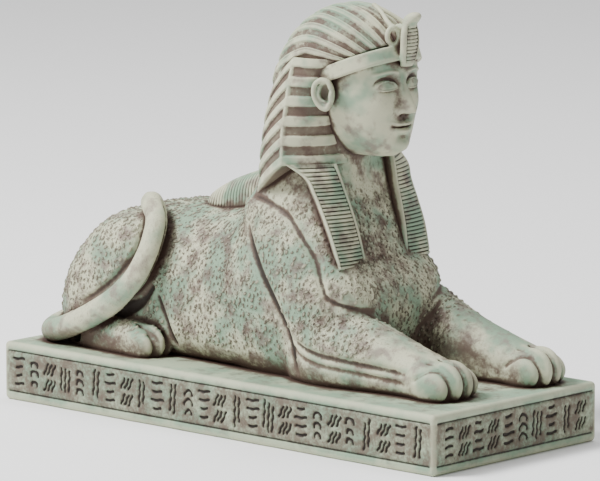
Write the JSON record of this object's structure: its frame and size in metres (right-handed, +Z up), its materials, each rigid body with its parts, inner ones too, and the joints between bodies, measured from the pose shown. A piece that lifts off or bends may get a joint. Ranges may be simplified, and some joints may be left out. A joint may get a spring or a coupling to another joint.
{
  "type": "sphinx statue",
  "caption": "Cast resin statuette of a couchant sphinx in a striped headcloth, on its own rectangular plinth, to stand on a shelf or table.",
  "frame": {"origin": "centre of the plinth's underside", "axes": "+X the way the sphinx looks, along the plinth; +Y towards its left side; +Z up"},
  "size_m": [0.2, 0.083, 0.1473],
  "materials": {
    "aged_resin": "matte cast resin, pale grey-green with a brown-mauve wash in the recesses and paler raised parts"
  },
  "bodies": {
    "root": {"sphinx_statue": "aged_resin"}
  },
  "joints": []
}
